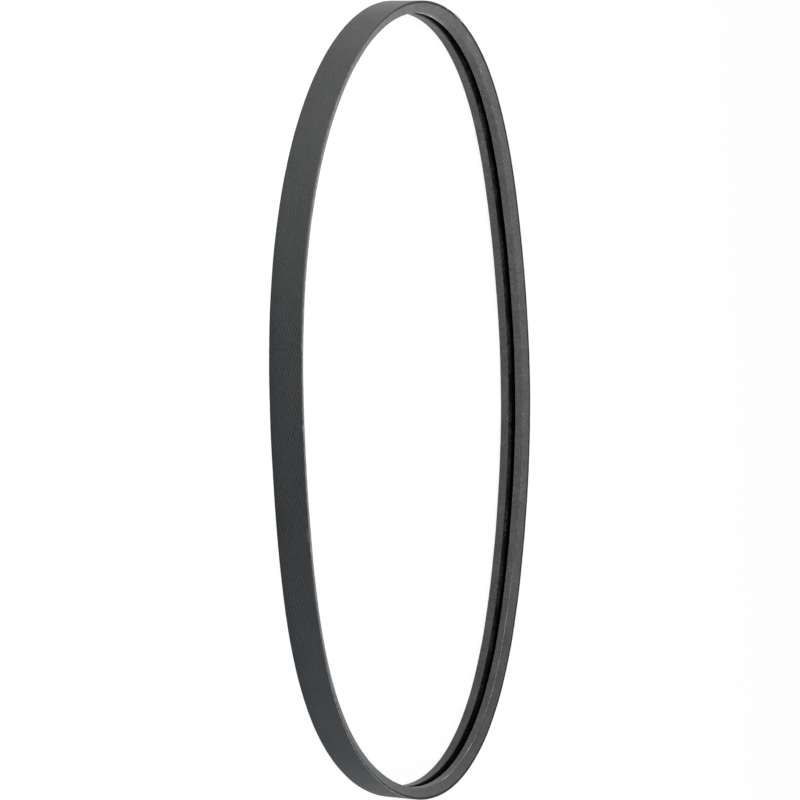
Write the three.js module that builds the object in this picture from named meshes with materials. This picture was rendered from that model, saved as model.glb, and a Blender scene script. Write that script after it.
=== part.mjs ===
// Banded V-belt: V-shaped ribs side by side under one tie band, vulcanised as a single endless rubber loop.
// Millimetres. The belt lies on the cut edge of its tie band, as it rests on a bench: +Z is up,
// +Y runs along the longer side of the loop, and the origin is the middle of the loop's footprint.

import * as THREE from 'three';

// Length of the belt, measured once round its back
const backLength = 2080;

// Section: the ribs, and the tie band that joins them
const ribCount = 2;
const ribRootWidth = 14.8; // where a rib meets the tie band
const ribRootGap = 1.1; // between two ribs, at the tie band
const ribDepth = 9.3; // from the tie band's underside to the rib's bottom
const flankAngle = 19; // degrees, each flank from the plane of the loop's edge
const bandThickness = 1.9;
const bandOverhang = 0.4; // how far the cut edge of the tie band stands past the outer flanks

// Rounding of the section's corners
const bandCornerRadius = 0.3; // cut edge of the tie band, at the back
const ribCornerRadius = 0.9; // bottom corners of the ribs
const grooveRootRadius = 0.35; // where the groove between two ribs meets the tie band

// Facets
const stationCount = 112; // sections round the loop
const ribCornerFacets = 3;
const smallCornerFacets = 2;
const stepsPerStation = 12; // finer steps that the loop's line is added up from

// The shape that the slack belt takes. A round hoop's heading turns evenly with the distance along it.
// Each bend lets the heading swing ahead of that and back, in degrees, so many waves in one round,
// with its start given as an angle along the round.
const bends = [
	{ name: 'oval', waves: 2, swing: 15.5, start: 17 },
	{ name: 'egg', waves: 3, swing: 1.5, start: - 90 },
	{ name: 'four corners', waves: 4, swing: 1.2, start: 180 },
	{ name: 'five corners', waves: 5, swing: 2.3, start: - 59 },
	{ name: 'six corners', waves: 6, swing: 1.3, start: 161 },
];

// Sizes that follow from these
const ribPitch = ribRootWidth + ribRootGap;
const bandWidth = ribCount * ribRootWidth + ( ribCount - 1 ) * ribRootGap + 2 * bandOverhang;
const beltThickness = bandThickness + ribDepth;
const flankRun = ribDepth * Math.tan( THREE.MathUtils.degToRad( flankAngle ) );

// The line of the belt's back

const fullTurn = 2 * Math.PI;

// Heading of the line at one place on the round, with the even sway that closes the loop.
function heading( turn, sway ) {

	let angle = turn + sway.sine * Math.sin( turn ) + sway.cosine * Math.cos( turn );

	for ( const bend of bends ) {

		const start = THREE.MathUtils.degToRad( bend.start );
		const swing = THREE.MathUtils.degToRad( bend.swing );
		angle += swing * Math.sin( bend.waves * turn + start );

	}

	return angle;

}

// Distance by which a loop with this sway fails to meet its own start, as a share of its length.
function openingOf( sway, steps ) {

	const gap = new THREE.Vector2();

	for ( let i = 0; i < steps; i ++ ) {

		const angle = heading( fullTurn * ( i + 0.5 ) / steps, sway );
		gap.x += Math.cos( angle ) / steps;
		gap.y += Math.sin( angle ) / steps;

	}

	return gap;

}

// The sway that brings the end of the line back to its start, found by a few rounds of Newton's method.
function closingSway( steps ) {

	const nudge = 1e-4;
	const rounds = 8;
	const sway = { sine: 0, cosine: 0 };

	for ( let round = 0; round < rounds; round ++ ) {

		const gap = openingOf( sway, steps );
		const bySine = openingOf( { sine: sway.sine + nudge, cosine: sway.cosine }, steps )
			.sub( gap ).divideScalar( nudge );
		const byCosine = openingOf( { sine: sway.sine, cosine: sway.cosine + nudge }, steps )
			.sub( gap ).divideScalar( nudge );
		const spread = bySine.cross( byCosine );
		sway.sine -= gap.cross( byCosine ) / spread;
		sway.cosine -= bySine.cross( gap ) / spread;

	}

	return sway;

}

// Stations along the back: a point of the line and the direction that points out of the loop there.
function beltStations() {

	const steps = stationCount * stepsPerStation;
	const stepLength = backLength / steps;
	const sway = closingSway( steps );
	const footprint = new THREE.Box2();
	const point = new THREE.Vector2();
	const stations = [];

	for ( let i = 0; i < steps; i ++ ) {

		if ( i % stepsPerStation === 0 ) {

			const angle = heading( fullTurn * i / steps, sway );
			const outward = new THREE.Vector2( Math.sin( angle ), Math.cos( angle ) );
			stations.push( { point: point.clone(), outward } );
			footprint.expandByPoint( point );

		}

		const middle = heading( fullTurn * ( i + 0.5 ) / steps, sway );
		point.x += stepLength * Math.cos( middle );
		point.y -= stepLength * Math.sin( middle );

	}

	const centre = footprint.getCenter( new THREE.Vector2() );

	for ( const station of stations ) station.point.sub( centre );

	return stations;

}

// The section, with x across the belt from its lower edge and y inward from its back

// A corner rounded by an arc that touches both of its sides, and is limited by the shorter of them.
function roundedCorner( before, corner, after, radius, facets ) {

	const shorterSide = Math.min( corner.distanceTo( before ), corner.distanceTo( after ) );
	const back = before.clone().sub( corner ).normalize();
	const ahead = after.clone().sub( corner ).normalize();
	const halfAngle = Math.acos( back.dot( ahead ) ) / 2;
	const reach = Math.min( radius / Math.tan( halfAngle ), shorterSide / 2 );
	const arcRadius = reach * Math.tan( halfAngle );
	const bisector = back.clone().add( ahead ).normalize();
	const centre = corner.clone().addScaledVector( bisector, arcRadius / Math.sin( halfAngle ) );
	const spoke = corner.clone().addScaledVector( back, reach ).sub( centre );
	const turn = ( Math.PI - 2 * halfAngle ) * Math.sign( ahead.cross( back ) );
	const points = [];

	for ( let i = 0; i <= facets; i ++ ) {

		points.push( spoke.clone().rotateAround( new THREE.Vector2(), turn * i / facets ).add( centre ) );

	}

	return points;

}

// Corners of the section in order: the back, the upper cut edge, each rib from the top one down, the lower cut edge.
function sectionCorners() {

	const corners = [
		{ x: 0, y: 0, radius: bandCornerRadius, facets: smallCornerFacets },
		{ x: bandWidth, y: 0, radius: bandCornerRadius, facets: smallCornerFacets },
		{ x: bandWidth, y: bandThickness },
	];

	for ( let rib = ribCount - 1; rib >= 0; rib -- ) {

		const low = bandOverhang + rib * ribPitch;
		const high = low + ribRootWidth;
		const aboveIsGroove = rib < ribCount - 1;
		const belowIsGroove = rib > 0;
		corners.push(
			{ x: high, y: bandThickness, radius: aboveIsGroove ? grooveRootRadius : 0, facets: smallCornerFacets },
			{ x: high - flankRun, y: beltThickness, radius: ribCornerRadius, facets: ribCornerFacets },
			{ x: low + flankRun, y: beltThickness, radius: ribCornerRadius, facets: ribCornerFacets },
			{ x: low, y: bandThickness, radius: belowIsGroove ? grooveRootRadius : 0, facets: smallCornerFacets },
		);

	}

	corners.push( { x: 0, y: bandThickness } );
	return corners;

}

function beltSection() {

	const corners = sectionCorners();
	const places = corners.map( ( corner ) => new THREE.Vector2( corner.x, corner.y ) );
	const points = [];

	corners.forEach( ( corner, i ) => {

		const before = places[ ( i + places.length - 1 ) % places.length ];
		const after = places[ ( i + 1 ) % places.length ];

		if ( corner.radius > 0 ) {

			points.push( ...roundedCorner( before, places[ i ], after, corner.radius, corner.facets ) );

		} else {

			points.push( places[ i ] );

		}

	} );

	return points;

}

// The section carried once round the loop, with its last station joined to its first.
function sweptLoop( stations, section ) {

	const positions = [];
	const faces = [];
	const around = stations.length;
	const across = section.length;

	for ( const { point, outward } of stations ) {

		for ( const corner of section ) {

			positions.push( point.x - corner.y * outward.x, point.y - corner.y * outward.y, corner.x );

		}

	}

	for ( let i = 0; i < around; i ++ ) {

		const here = i * across;
		const next = ( ( i + 1 ) % around ) * across;

		for ( let j = 0; j < across; j ++ ) {

			const k = ( j + 1 ) % across;
			faces.push( here + j, here + k, next + j );
			faces.push( next + j, here + k, next + k );

		}

	}

	const geometry = new THREE.BufferGeometry();
	geometry.setAttribute( 'position', new THREE.Float32BufferAttribute( positions, 3 ) );
	geometry.setIndex( faces );
	geometry.computeVertexNormals();
	return geometry;

}

// The belt

const wrappedRubber = new THREE.MeshStandardMaterial( { color: 0x4b4c4d, roughness: 0.8, metalness: 0 } );

const belt = new THREE.Mesh( sweptLoop( beltStations(), beltSection() ), wrappedRubber );
belt.name = 'banded_v_belt';

const part = new THREE.Group();
part.add( belt );

export default part;
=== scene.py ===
"""A banded V-belt lying on a pale floor: its dressed surface, the studio round it and the camera.

The belt is one vulcanised loop, so it is one mesh that carries the section round the slack line of its back.
Lengths are in metres, and angles are in degrees where a name ends in _deg.
"""

import logging
import math
from collections.abc import Sequence
from dataclasses import dataclass, field, replace
from enum import Enum, IntEnum

import bpy
import numpy as np
from mathutils import Matrix, Vector


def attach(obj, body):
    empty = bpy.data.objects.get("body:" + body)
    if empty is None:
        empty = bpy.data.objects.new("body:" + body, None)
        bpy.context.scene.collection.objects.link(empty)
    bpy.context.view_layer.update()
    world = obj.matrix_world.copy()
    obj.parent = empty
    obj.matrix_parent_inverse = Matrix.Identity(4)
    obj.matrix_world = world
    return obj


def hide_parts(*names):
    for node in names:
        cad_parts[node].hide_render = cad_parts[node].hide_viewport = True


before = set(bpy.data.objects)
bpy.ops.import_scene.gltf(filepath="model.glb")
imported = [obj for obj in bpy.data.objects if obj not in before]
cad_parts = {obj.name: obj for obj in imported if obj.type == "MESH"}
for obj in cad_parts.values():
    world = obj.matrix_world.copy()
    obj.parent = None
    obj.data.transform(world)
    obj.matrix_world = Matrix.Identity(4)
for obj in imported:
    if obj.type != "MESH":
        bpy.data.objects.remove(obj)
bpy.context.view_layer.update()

BELT_NODE = "banded_v_belt"
BODY = "root"
MM = 0.001
FULL_TURN = 2 * math.pi
Colour = tuple[float, float, float]
Place = tuple[float, float, float]
WHITE: Colour = (1.0, 1.0, 1.0)

# The map that the finishes read: distance along the belt, and distance round its section
RUN_MAP = "belt_run"
# The map that a texture bake of the belt uses
BAKE_MAP = "OFBake"

log = logging.getLogger("banded_belt")


class Face(Enum):
    """The kinds of surface on the belt's section."""

    BACK = 0
    CUT_EDGE = 1
    SHOULDER = 2
    FLANK = 3
    BOTTOM = 4
    GROOVE = 5


class Finish(Enum):
    """The material slots of the belt's mesh, in order."""

    TIE_BAND = 0
    CUT_EDGE = 1
    RIB_COVER = 2
    GROOVE_WALL = 3


FINISH_OF_FACE = {
    Face.BACK: Finish.TIE_BAND,
    Face.CUT_EDGE: Finish.CUT_EDGE,
    Face.SHOULDER: Finish.CUT_EDGE,
    Face.FLANK: Finish.RIB_COVER,
    Face.BOTTOM: Finish.RIB_COVER,
    Face.GROOVE: Finish.GROOVE_WALL,
}


# Shader maths


class ColourMix(IntEnum):
    """The numbers of a Mix node's colour sockets: its two inputs, and the result among its outputs."""

    FIRST = 6
    SECOND = 7
    RESULT = 2


class Sock:
    """An output socket of a shader tree, on which sums, products and powers can be written."""

    def __init__(self, tree: "ShaderTree", socket: bpy.types.NodeSocket) -> None:
        """Wraps one socket.

        Args:
            tree: the shader tree that the socket belongs to.
            socket: the output socket.
        """
        self.tree = tree
        self.socket = socket

    def __add__(self, other: "Sock | float") -> "Sock":
        """The sum of this value and another."""
        return self.tree.maths("ADD", self, other)

    __radd__ = __add__

    def __sub__(self, other: "Sock | float") -> "Sock":
        """This value less another."""
        return self.tree.maths("SUBTRACT", self, other)

    def __rsub__(self, other: "Sock | float") -> "Sock":
        """Another value less this one."""
        return self.tree.maths("SUBTRACT", other, self)

    def __mul__(self, other: "Sock | float") -> "Sock":
        """The product of this value and another."""
        return self.tree.maths("MULTIPLY", self, other)

    __rmul__ = __mul__

    def __pow__(self, other: "Sock | float") -> "Sock":
        """This value raised to a power."""
        return self.tree.maths("POWER", self, other)


class ShaderTree:
    """A material or world under construction, with one method that adds any node to it."""

    def __init__(self, owner: bpy.types.Material | bpy.types.World) -> None:
        """Starts an empty tree.

        Args:
            owner: the material or world whose nodes are made.
        """
        owner.use_nodes = True
        self.nodes = owner.node_tree.nodes
        self.links = owner.node_tree.links
        self.nodes.clear()

    def node(
        self,
        kind: str,
        settings: dict[str, object] | None = None,
        inputs: dict[int | str, object] | None = None,
        output: int | str = 0,
    ) -> Sock:
        """Adds a node.

        Args:
            kind: the node's type.
            settings: its properties, which are set first.
            inputs: values or wrapped sockets for its inputs, by name or number.
            output: the output to return, by name or number.

        Returns:
            The chosen output, wrapped.
        """
        made = self.nodes.new(kind)
        for key, value in (settings or {}).items():
            setattr(made, key, value)
        for key, value in (inputs or {}).items():
            socket = made.inputs[key]
            if isinstance(value, Sock):
                self.links.new(value.socket, socket)
            elif isinstance(value, tuple) and len(value) == 3 and socket.type == "RGBA":
                socket.default_value = (*value, 1.0)
            else:
                socket.default_value = value
        return Sock(self, made.outputs[output]) if made.outputs else Sock(self, None)

    def maths(self, operation: str, *values: Sock | float) -> Sock:
        """Adds a Math node.

        Args:
            operation: what it works out.
            values: its inputs in order.

        Returns:
            The result.
        """
        return self.node("ShaderNodeMath", {"operation": operation}, dict(enumerate(values)))

    def clamp(self, value: Sock) -> Sock:
        """Keeps a value between 0 and 1."""
        return self.node("ShaderNodeClamp", inputs={0: value})

    def smooth_step(self, value: Sock, low: float, high: float) -> Sock:
        """A smooth rise from 0 to 1 as a value goes from low to high.

        Args:
            value: the value.
            low: where the rise starts. It may be above high, which turns the rise into a fall.
            high: where it ends.

        Returns:
            The share from 0 to 1.
        """
        settings = {"interpolation_type": "SMOOTHSTEP"}
        if low < high:
            return self.node("ShaderNodeMapRange", settings, {0: value, 1: low, 2: high})
        return 1 - self.node("ShaderNodeMapRange", settings, {0: value, 1: high, 2: low})

    def stripe(self, value: Sock, centre: float, half_width: float, softness: float) -> Sock:
        """A mask that is 1 near one value.

        Args:
            value: the value, such as a distance round the section.
            centre: the middle of the stripe.
            half_width: how far the stripe reaches to each side, to the middle of its soft edge.
            softness: how wide each soft edge is.

        Returns:
            The mask.
        """
        distance = self.maths("ABSOLUTE", value - centre)
        return self.smooth_step(distance, half_width + softness / 2, half_width - softness / 2)

    def noise(self, vector: Sock, scale: float, detail: float = 3.0, rough: float = 0.5) -> Sock:
        """Smooth noise between about 0.25 and 0.75.

        Args:
            vector: where it is read.
            scale: how many lumps there are in one unit of the vector.
            detail: how many finer layers are added.
            rough: how strong the finer layers are.

        Returns:
            The noise.
        """
        inputs = {"Vector": vector, "Scale": scale, "Detail": detail, "Roughness": rough}
        return self.node("ShaderNodeTexNoise", None, inputs)

    def mix(self, share: Sock | float, first: Sock | tuple, second: Sock | tuple) -> Sock:
        """Mixes two colours.

        Args:
            share: how much of the second colour there is.
            first: the colour at 0.
            second: the colour at 1.

        Returns:
            The mixed colour.
        """
        sockets = {"Factor": share, ColourMix.FIRST: first, ColourMix.SECOND: second}
        return self.node("ShaderNodeMix", {"data_type": "RGBA"}, sockets, ColourMix.RESULT)

    def tint(self, colour: Sock | tuple, strength: Sock) -> Sock:
        """A colour made darker or lighter by a varying strength.

        Args:
            colour: the colour.
            strength: 1 leaves it as it is.

        Returns:
            The product, as a colour.
        """
        return self.node("ShaderNodeVectorMath", {"operation": "SCALE"}, {0: colour, "Scale": strength})

    def bump(self, height: Sock, distance: float, strength: float = 1.0) -> Sock:
        """A surface normal from a height.

        Args:
            height: the height, where 1 stands distance above 0.
            distance: the real height of the relief.
            strength: how much of it shows.

        Returns:
            The normal.
        """
        inputs = {"Strength": strength, "Distance": distance, "Height": height}
        return self.node("ShaderNodeBump", None, inputs)


@dataclass(frozen=True)
class Mark:
    """A local mark on the surface, drawn out along the belt.

    Its place across is given from a feature of the section, further round the section where it is above 0.
    """

    along: float
    half_length: float
    beside: str
    offset: float
    half_width: float
    strength: float = 1.0
    fade: float = 6 * MM


@dataclass(frozen=True)
class Stretch:
    """A stretch of the belt: its middle, its reach to each side, and the length of its soft ends."""

    along: float
    half_length: float
    fade: float


@dataclass(frozen=True)
class Pattern:
    """Irregular lumps on the surface.

    The scale is their number in a metre, and finer_across is how many times finer they are across the belt
    than along it. Where a share of the surface is wanted, it rises from 0 to 1 as they go from low to high.
    """

    scale: float
    detail: float = 3.0
    rough: float = 0.5
    finer_across: float = 1.0
    low: float = 0.0
    high: float = 1.0


@dataclass(frozen=True)
class RunCoordinates:
    """The sockets that say where on the belt a point lies."""

    along: Sock
    girth: Sock
    ring: Sock
    back_length: float

    @classmethod
    def on(cls, tree: ShaderTree, back_length: float) -> "RunCoordinates":
        """Reads the belt's own map.

        Args:
            tree: the tree that the nodes go into.
            back_length: the length of the belt once round.

        Returns:
            The distance along, the distance round the section, and a point that closes on itself round the
            loop, in metres, for noise that runs with the belt.
        """
        run = tree.node("ShaderNodeUVMap", {"uv_map": RUN_MAP})
        split = tree.node("ShaderNodeSeparateXYZ", inputs={0: run}, output=0)
        girth = Sock(tree, split.socket.node.outputs[1])
        turn = split * (FULL_TURN / back_length)
        radius = back_length / FULL_TURN
        ring = tree.node(
            "ShaderNodeCombineXYZ",
            inputs={0: tree.maths("COSINE", turn) * radius, 1: tree.maths("SINE", turn) * radius, 2: girth},
        )
        return cls(along=split, girth=girth, ring=ring, back_length=back_length)

    def lumps(self, pattern: Pattern) -> Sock:
        """The noise of a pattern.

        Args:
            pattern: the pattern.

        Returns:
            Values between about 0.25 and 0.75.
        """
        tree = self.ring.tree
        point = self.ring
        if pattern.finer_across != 1:
            factors = (1.0, 1.0, pattern.finer_across)
            point = tree.node("ShaderNodeVectorMath", {"operation": "MULTIPLY"}, {0: self.ring, 1: factors})
        return tree.noise(point, pattern.scale, pattern.detail, pattern.rough)

    def patches(self, pattern: Pattern) -> Sock:
        """The share of the surface that a pattern covers, from 0 to 1."""
        return self.ring.tree.smooth_step(self.lumps(pattern), pattern.low, pattern.high)

    def sway(self, pattern: Pattern, swing: float) -> Sock:
        """A value that sways about 0 with a pattern, by about a quarter of the swing to each side."""
        return (self.lumps(pattern) - 0.5) * swing

    def within(self, stretch: Stretch) -> Sock:
        """A mask of one stretch of the belt, which may run over the place where the round starts.

        Args:
            stretch: the stretch, which reaches to the middle of its soft ends.

        Returns:
            The mask.
        """
        tree = self.ring.tree
        apart = tree.maths("ABSOLUTE", self.along - stretch.along)
        apart = tree.maths("MINIMUM", apart, self.back_length - apart)
        half_fade = stretch.fade / 2
        return tree.smooth_step(apart, stretch.half_length + half_fade, stretch.half_length - half_fade)

    def marked(self, marks: Sequence[Mark], places: dict[str, float], girth: Sock) -> Sock:
        """A mask of local marks.

        Args:
            marks: the marks.
            places: the girth of the section's features.
            girth: the distance round the section, which may wander a little.

        Returns:
            The mask, as strong as each mark in the middle of it.
        """
        tree = self.ring.tree
        total: Sock | float = 0.0
        for mark in marks:
            centre = places[mark.beside] + mark.offset
            crosswise = tree.stripe(girth, centre, mark.half_width, mark.half_width)
            lengthwise = self.within(Stretch(mark.along, mark.half_length, mark.fade))
            total = total + mark.strength * lengthwise * crosswise
        return tree.clamp(total)


def new_material(name: str) -> tuple[bpy.types.Material, ShaderTree]:
    """Makes an empty material.

    Args:
        name: its name.

    Returns:
        The material and its tree.
    """
    material = bpy.data.materials.new(name)
    return material, ShaderTree(material)


def close_surface(tree: ShaderTree, inputs: dict[str, object]) -> None:
    """Ends a material with one Principled surface.

    Args:
        tree: the material's tree.
        inputs: the surface's values and sockets.
    """
    shader = tree.node("ShaderNodeBsdfPrincipled", None, inputs)
    tree.node("ShaderNodeOutputMaterial", None, {"Surface": shader})


# The belt's line and section


@dataclass(frozen=True)
class Bend:
    """One regular swing of the loop's heading, ahead of and behind that of a round hoop."""

    name: str
    waves: int
    swing_deg: float
    start_deg: float


@dataclass(frozen=True)
class LoopLine:
    """The line of the belt's back as the slack belt lies, from its far end clockwise as seen from above."""

    back_length: float = 2080 * MM
    stations: int = 900
    steps_per_station: int = 2
    closing_rounds: int = 8
    bends: tuple[Bend, ...] = (
        Bend("oval", 2, 15.5, 17),
        Bend("egg", 3, 1.5, -90),
        Bend("four corners", 4, 1.2, 180),
        Bend("five corners", 5, 2.3, -59),
        Bend("six corners", 6, 1.3, 161),
    )

    def bent(self, turn: np.ndarray) -> np.ndarray:
        """The heading with its bends, before the loop is closed.

        Args:
            turn: places on the round, as angles.

        Returns:
            The heading at each place, as an angle.
        """
        angle = turn.copy()
        for bend in self.bends:
            swing = math.radians(bend.swing_deg)
            angle += swing * np.sin(bend.waves * turn + math.radians(bend.start_deg))
        return angle

    def closed(self, turn: np.ndarray) -> np.ndarray:
        """The heading with the even sway that brings the line's end back to its start.

        Args:
            turn: evenly spaced places on the round, as angles.

        Returns:
            The heading at each place.
        """
        bent = self.bent(turn)
        sways = np.stack([np.sin(turn), np.cos(turn)])
        amount = np.zeros(2)
        for _ in range(self.closing_rounds):
            angle = bent + amount @ sways
            gap = np.array([np.cos(angle).mean(), np.sin(angle).mean()])
            by_sine = (sways * -np.sin(angle)).mean(1)
            by_cosine = (sways * np.cos(angle)).mean(1)
            amount -= np.linalg.solve(np.stack([by_sine, by_cosine]), gap)
        return bent + amount @ sways

    def walk(self) -> tuple[np.ndarray, np.ndarray]:
        """Walks the line once round.

        Returns:
            The place of each station on the floor plan, centred on the loop's footprint, and the direction
            that points out of the loop there.
        """
        steps = self.stations * self.steps_per_station
        turn = np.arange(2 * steps) * (FULL_TURN / (2 * steps))
        heading = self.closed(turn)
        middle = heading[1::2]
        step = self.back_length / steps
        moves = np.stack([np.cos(middle), -np.sin(middle)], axis=1) * step
        places = np.vstack([np.zeros(2), np.cumsum(moves, axis=0)[:-1]])[:: self.steps_per_station]
        places -= (places.min(0) + places.max(0)) / 2
        at = heading[0 :: 2 * self.steps_per_station]
        outward = np.stack([np.sin(at), np.cos(at)], axis=1)
        return places, outward


@dataclass(frozen=True)
class Corner:
    """A corner of the section before it is rounded, and the faces that start at it."""

    across: float
    depth: float
    face: Face
    radius: float = 0.0
    facets: int = 1


@dataclass
class Outline:
    """The section's points in order, the face that follows each point, and the distance round to each."""

    points: np.ndarray
    faces: list[Face]
    marks: dict[str, float] = field(default_factory=dict)

    @property
    def girth(self) -> np.ndarray:
        """The distance round the section to each point, with the whole girth at the end."""
        steps = np.linalg.norm(np.roll(self.points, -1, axis=0) - self.points, axis=1)
        return np.concatenate([[0.0], np.cumsum(steps)])

    @property
    def normals(self) -> np.ndarray:
        """The direction out of the section at each point.

        Returns:
            One unit vector for each point, square to the chord between its neighbours.
        """
        chord = np.roll(self.points, -1, axis=0) - np.roll(self.points, 1, axis=0)
        out = np.stack([chord[:, 1], -chord[:, 0]], axis=1)
        return out / np.linalg.norm(out, axis=1, keepdims=True)


@dataclass(frozen=True)
class BeltSection:
    """The V ribs and the tie band that joins them."""

    rib_count: int = 2
    rib_root_width: float = 14.8 * MM
    rib_root_gap: float = 1.1 * MM
    rib_depth: float = 9.3 * MM
    flank_deg: float = 19
    band_thickness: float = 1.9 * MM
    band_overhang: float = 0.4 * MM
    band_corner_radius: float = 0.3 * MM
    rib_corner_radius: float = 1.3 * MM
    groove_root_radius: float = 0.35 * MM
    lip_radius: float = 0.12 * MM
    crevice_depth: float = 0.3 * MM
    crevice_width: float = 0.4 * MM
    crevice_mouth: float = 0.03 * MM
    crevice_slope: float = 0.08 * MM
    crevice_radius: float = 0.1 * MM
    longest_step: float = 1.6 * MM
    rib_corner_facets: int = 6
    band_corner_facets: int = 3
    groove_root_facets: int = 3
    crevice_facets: int = 2

    @property
    def pitch(self) -> float:
        """The distance from one rib to the next."""
        return self.rib_root_width + self.rib_root_gap

    @property
    def width(self) -> float:
        """The width of the tie band."""
        roots = self.rib_count * self.rib_root_width + (self.rib_count - 1) * self.rib_root_gap
        return roots + 2 * self.band_overhang

    @property
    def thickness(self) -> float:
        """The thickness of the belt."""
        return self.band_thickness + self.rib_depth

    @property
    def flank_run(self) -> float:
        """How far a flank leans in from the rib's root to its bottom."""
        return self.rib_depth * math.tan(math.radians(self.flank_deg))

    def flank_at(self, root: float, side: int, below: float) -> tuple[float, float]:
        """A point on a flank.

        Args:
            root: where the flank meets the tie band.
            side: 1 for a rib's upper flank and -1 for its lower one.
            below: how far from the tie band the point lies.

        Returns:
            Its place across the belt and its depth from the back.
        """
        lean = below * math.tan(math.radians(self.flank_deg))
        return root - side * lean, self.band_thickness + below

    def outer_shoulder(self, root: float, side: int) -> list[Corner]:
        """The underside of the tie band's lip and the narrow crevice where it meets an outer flank.

        Args:
            root: where the flank meets the tie band.
            side: 1 at the belt's upper edge and -1 at its lower one.

        Returns:
            The corners from the cut edge to the flank.
        """
        edge = root + side * self.band_overhang
        under = self.band_thickness
        facets = self.crevice_facets
        lip = Corner(edge, under, Face.SHOULDER, self.lip_radius, facets)
        mouth = Corner(root + side * self.crevice_mouth, under, Face.SHOULDER)
        bottom = Corner(root - side * self.crevice_depth, under + self.crevice_slope, Face.SHOULDER)
        flank_start = self.flank_at(root, side, self.crevice_width)
        start = Corner(*flank_start, Face.FLANK, self.crevice_radius, facets)
        return [lip, mouth, bottom, start]

    def rib(self, number: int) -> list[Corner]:
        """The corners of one rib, from its upper flank to its lower one.

        Args:
            number: the rib, counted from the lower edge.

        Returns:
            Its corners in order.
        """
        low = self.band_overhang + number * self.pitch
        high = low + self.rib_root_width
        bottom = self.thickness
        radius = self.rib_corner_radius
        facets = self.rib_corner_facets
        is_top = number == self.rib_count - 1
        is_lowest = number == 0
        corners = self.outer_shoulder(high, 1) if is_top else [self.groove_root(high)]
        corners.append(Corner(high - self.flank_run, bottom, Face.BOTTOM, radius, facets))
        after = Face.FLANK if is_lowest else Face.GROOVE
        corners.append(Corner(low + self.flank_run, bottom, after, radius, facets))
        if is_lowest:
            return corners + reversed_shoulder(self.outer_shoulder(low, -1))
        return [*corners, self.groove_root(low)]

    def groove_root(self, across: float) -> Corner:
        """One of the two corners at the root of the groove.

        Args:
            across: its place across the belt.

        Returns:
            The corner.
        """
        return Corner(
            across, self.band_thickness, Face.GROOVE, self.groove_root_radius, self.groove_root_facets
        )

    def corners(self) -> list[Corner]:
        """The section's corners, before they are rounded.

        Returns:
            All of them in order: the back, the upper cut edge, then each rib from the top down.
        """
        radius = self.band_corner_radius
        facets = self.band_corner_facets
        found = [
            Corner(0.0, 0.0, Face.BACK, radius, facets),
            Corner(self.width, 0.0, Face.CUT_EDGE, radius, facets),
        ]
        for number in reversed(range(self.rib_count)):
            found += self.rib(number)
        return found

    def outline(self) -> Outline:
        """Rounds the corners and divides the long sides.

        Returns:
            The section's points, with the girth of the places that the finishes need.
        """
        corners = self.corners()
        points: list[np.ndarray] = []
        faces: list[Face] = []
        for i, corner in enumerate(corners):
            before = corners[i - 1]
            after = corners[(i + 1) % len(corners)]
            arc = rounded(before, corner, after)
            if points:
                self.divide(points, faces, points[-1], arc[0], before.face)
            points += arc
            faces += [arc_face(before.face, corner.face)] * (len(arc) - 1) + [corner.face]
        self.divide(points, faces, points[-1], points[0], corners[-1].face)
        return self.marked(Outline(np.array(points), faces))

    def divide(
        self, points: list[np.ndarray], faces: list[Face], start: np.ndarray, end: np.ndarray, face: Face
    ) -> None:
        """Adds the points between two ends of a straight side.

        Args:
            points: the section's points so far.
            faces: the face after each of them.
            start: the side's start, which is the last point so far.
            end: the side's end, which isn't added.
            face: the side's face.
        """
        pieces = max(1, math.ceil(float(np.linalg.norm(end - start)) / self.longest_step))
        for k in range(1, pieces):
            points.append(start + (end - start) * (k / pieces))
            faces.append(face)

    def marked(self, outline: Outline) -> Outline:
        """Notes how far round the section the belt's features lie.

        Args:
            outline: the section's points.

        Returns:
            The same outline with its marks.
        """
        girth = outline.girth
        for face in Face:
            at = [i for i, kind in enumerate(outline.faces) if kind is face]
            outline.marks[face.name + "_START"] = float(girth[at[0]])
            outline.marks[face.name + "_END"] = float(girth[at[-1] + 1])
        bottoms = [i for i, kind in enumerate(outline.faces) if kind is Face.BOTTOM]
        breaks = [b for a, b in zip(bottoms, bottoms[1:]) if b != a + 1]
        outline.marks["UPPER_BOTTOM_START"] = float(girth[bottoms[0]])
        outline.marks["LOWER_BOTTOM_START"] = float(girth[breaks[0]])
        outline.marks["UPPER_BOTTOM_END"] = float(girth[bottoms[bottoms.index(breaks[0]) - 1] + 1])
        outline.marks["LOWER_BOTTOM_END"] = float(girth[bottoms[-1] + 1])
        return outline


def reversed_shoulder(corners: list[Corner]) -> list[Corner]:
    """Turns an outer shoulder round, so that it leads from the flank to the cut edge.

    Args:
        corners: the corners from the cut edge to the flank.

    Returns:
        The corners from the flank to the cut edge, each with the face that now follows it.
    """
    turned = list(reversed(corners))
    faces = [Face.SHOULDER] * (len(turned) - 1) + [Face.CUT_EDGE]
    return [replace(corner, face=face) for corner, face in zip(turned, faces, strict=True)]


def arc_face(before: Face, after: Face) -> Face:
    """The face that a rounded corner belongs to.

    Args:
        before: the face that ends at the corner.
        after: the face that starts there.

    Returns:
        The back where the corner borders it, the rib's bottom where it borders that, and else the first
        face.
    """
    for kind in (Face.BACK, Face.BOTTOM):
        if kind in (before, after):
            return kind
    return before


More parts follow.
